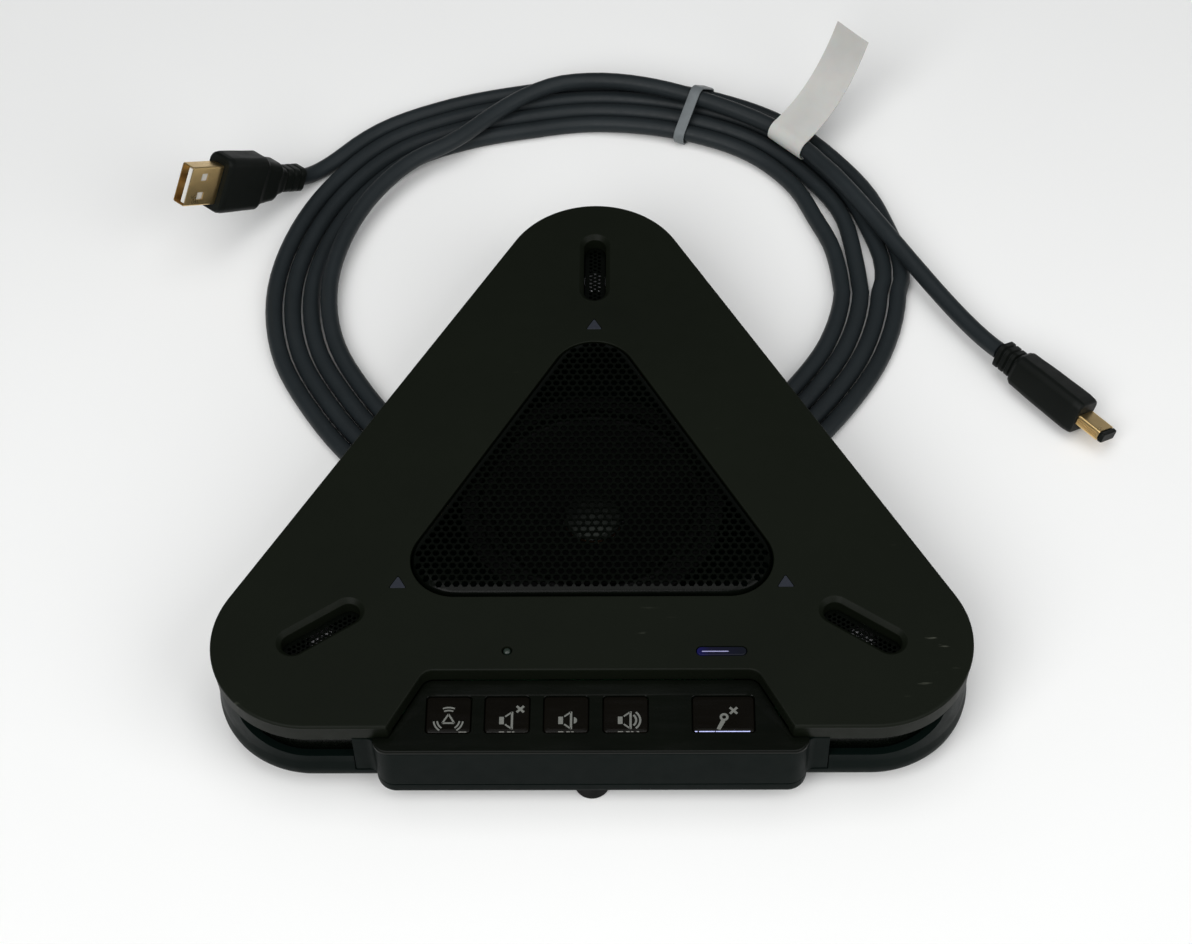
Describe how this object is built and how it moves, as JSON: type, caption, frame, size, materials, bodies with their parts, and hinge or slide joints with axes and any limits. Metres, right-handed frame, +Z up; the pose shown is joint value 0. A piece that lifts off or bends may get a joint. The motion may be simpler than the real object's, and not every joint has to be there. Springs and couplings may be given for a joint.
{
  "type": "conference speakerphone",
  "caption": "Flat triangular table speakerphone with rounded corners, perforated centre grille, sunken key panel, corner microphone slots and a coiled USB lead.",
  "frame": {"origin": "on the table plane, centre of the contact face of the front foot", "axes": "+Z up, +Y from the key panel towards the rear corner, +X to the right when facing the key panel"},
  "size_m": [0.2627, 0.2516, 0.0387],
  "materials": {
    "body_charcoal": "fine satin",
    "case_charcoal": "satin",
    "panel_gloss": "piano gloss",
    "key_black": "gloss",
    "mesh_black": "painted perforated sheet",
    "magnet_steel": "plain",
    "frame_black": "matte",
    "cone_paper": "matte",
    "cap_grey": "satin",
    "soft_rubber": "matte",
    "coil_copper": "wire",
    "board_green": "solder mask",
    "screw_steel": "plain",
    "lamp_violet": "clear tinted",
    "lamp_smoke": "clear",
    "mark_grey": "pale",
    "cable_slate": "satin",
    "grip_black": "matte",
    "plug_gold": "plated",
    "plug_white": "matte",
    "tie_grey": "satin",
    "label_white": "paper"
  },
  "bodies": {
    "case": {"top_cover": "body_charcoal", "bottom_case": "case_charcoal", "front_bezel": "case_charcoal", "control_panel": "panel_gloss", "switch_base_zone": "frame_black", "switch_base_speaker_mute": "frame_black", "switch_base_volume_down": "frame_black", "switch_base_volume_up": "frame_black", "switch_base_mic_mute": "frame_black", "speaker_grille": "mesh_black", "slot_mesh_rear": "mesh_black", "slot_mesh_left": "mesh_black", "slot_mesh_right": "mesh_black", "side_mesh_left": "mesh_black", "side_mesh_right": "mesh_black", "speaker_frame": "frame_black", "speaker_magnet": "magnet_steel", "microphone_rear": "magnet_steel", "microphone_left": "magnet_steel", "microphone_right": "magnet_steel", "usb_socket": "magnet_steel", "speaker_surround": "soft_rubber", "foot_front": "soft_rubber", "foot_rear": "soft_rubber", "foot_left": "soft_rubber", "foot_right": "soft_rubber", "main_board": "board_green", "key_board": "board_green", "screw_rear_left": "screw_steel", "screw_rear_right": "screw_steel", "screw_front_left": "screw_steel", "screw_front_right": "screw_steel", "lamp_bar": "lamp_violet", "lamp_dot": "lamp_smoke", "zone_mark_rear": "mark_grey", "zone_mark_left": "mark_grey", "zone_mark_right": "mark_grey"},
    "key_zone": {"key_zone": "key_black", "switch_stem_zone": "plug_white"},
    "key_speaker_mute": {"key_speaker_mute": "key_black", "switch_stem_speaker_mute": "plug_white"},
    "key_volume_down": {"key_volume_down": "key_black", "switch_stem_volume_down": "plug_white"},
    "key_volume_up": {"key_volume_up": "key_black", "switch_stem_volume_up": "plug_white"},
    "key_mic_mute": {"key_mic_mute": "key_black", "switch_stem_mic_mute": "plug_white"},
    "speaker_driver": {"speaker_cone": "cone_paper", "dust_cap": "cap_grey", "voice_coil": "coil_copper"},
    "usb_lead": {"usb_cable": "cable_slate", "usb_a_grip": "grip_black", "usb_a_shell": "plug_gold", "usb_a_tongue": "plug_white", "mini_grip": "grip_black", "mini_shell": "plug_gold", "mini_tongue": "grip_black", "cable_tie": "tie_grey", "cable_label": "label_white"}
  },
  "joints": [
    {"name": "zone_press", "type": "slide", "parent": "case", "child": "key_zone", "axis": [0, 0, -1], "range_m": [0, 0.0006], "stiffness_N_per_m": 100},
    {"name": "speaker_mute_press", "type": "slide", "parent": "case", "child": "key_speaker_mute", "axis": [0, 0, -1], "range_m": [0, 0.0006], "stiffness_N_per_m": 100},
    {"name": "volume_down_press", "type": "slide", "parent": "case", "child": "key_volume_down", "axis": [0, 0, -1], "range_m": [0, 0.0006], "stiffness_N_per_m": 100},
    {"name": "volume_up_press", "type": "slide", "parent": "case", "child": "key_volume_up", "axis": [0, 0, -1], "range_m": [0, 0.0006], "stiffness_N_per_m": 100},
    {"name": "mic_mute_press", "type": "slide", "parent": "case", "child": "key_mic_mute", "axis": [0, 0, -1], "range_m": [0, 0.0006], "stiffness_N_per_m": 100},
    {"name": "cone_travel", "type": "slide", "parent": "case", "child": "speaker_driver", "axis": [0, 0, 1], "range_m": [-0.001, 0.001], "stiffness_N_per_m": 300},
    {"name": "lead_clear", "type": "slide", "parent": "case", "child": "usb_lead", "axis": [0, 0, -1], "range_m": [0, 0.05]}
  ]
}
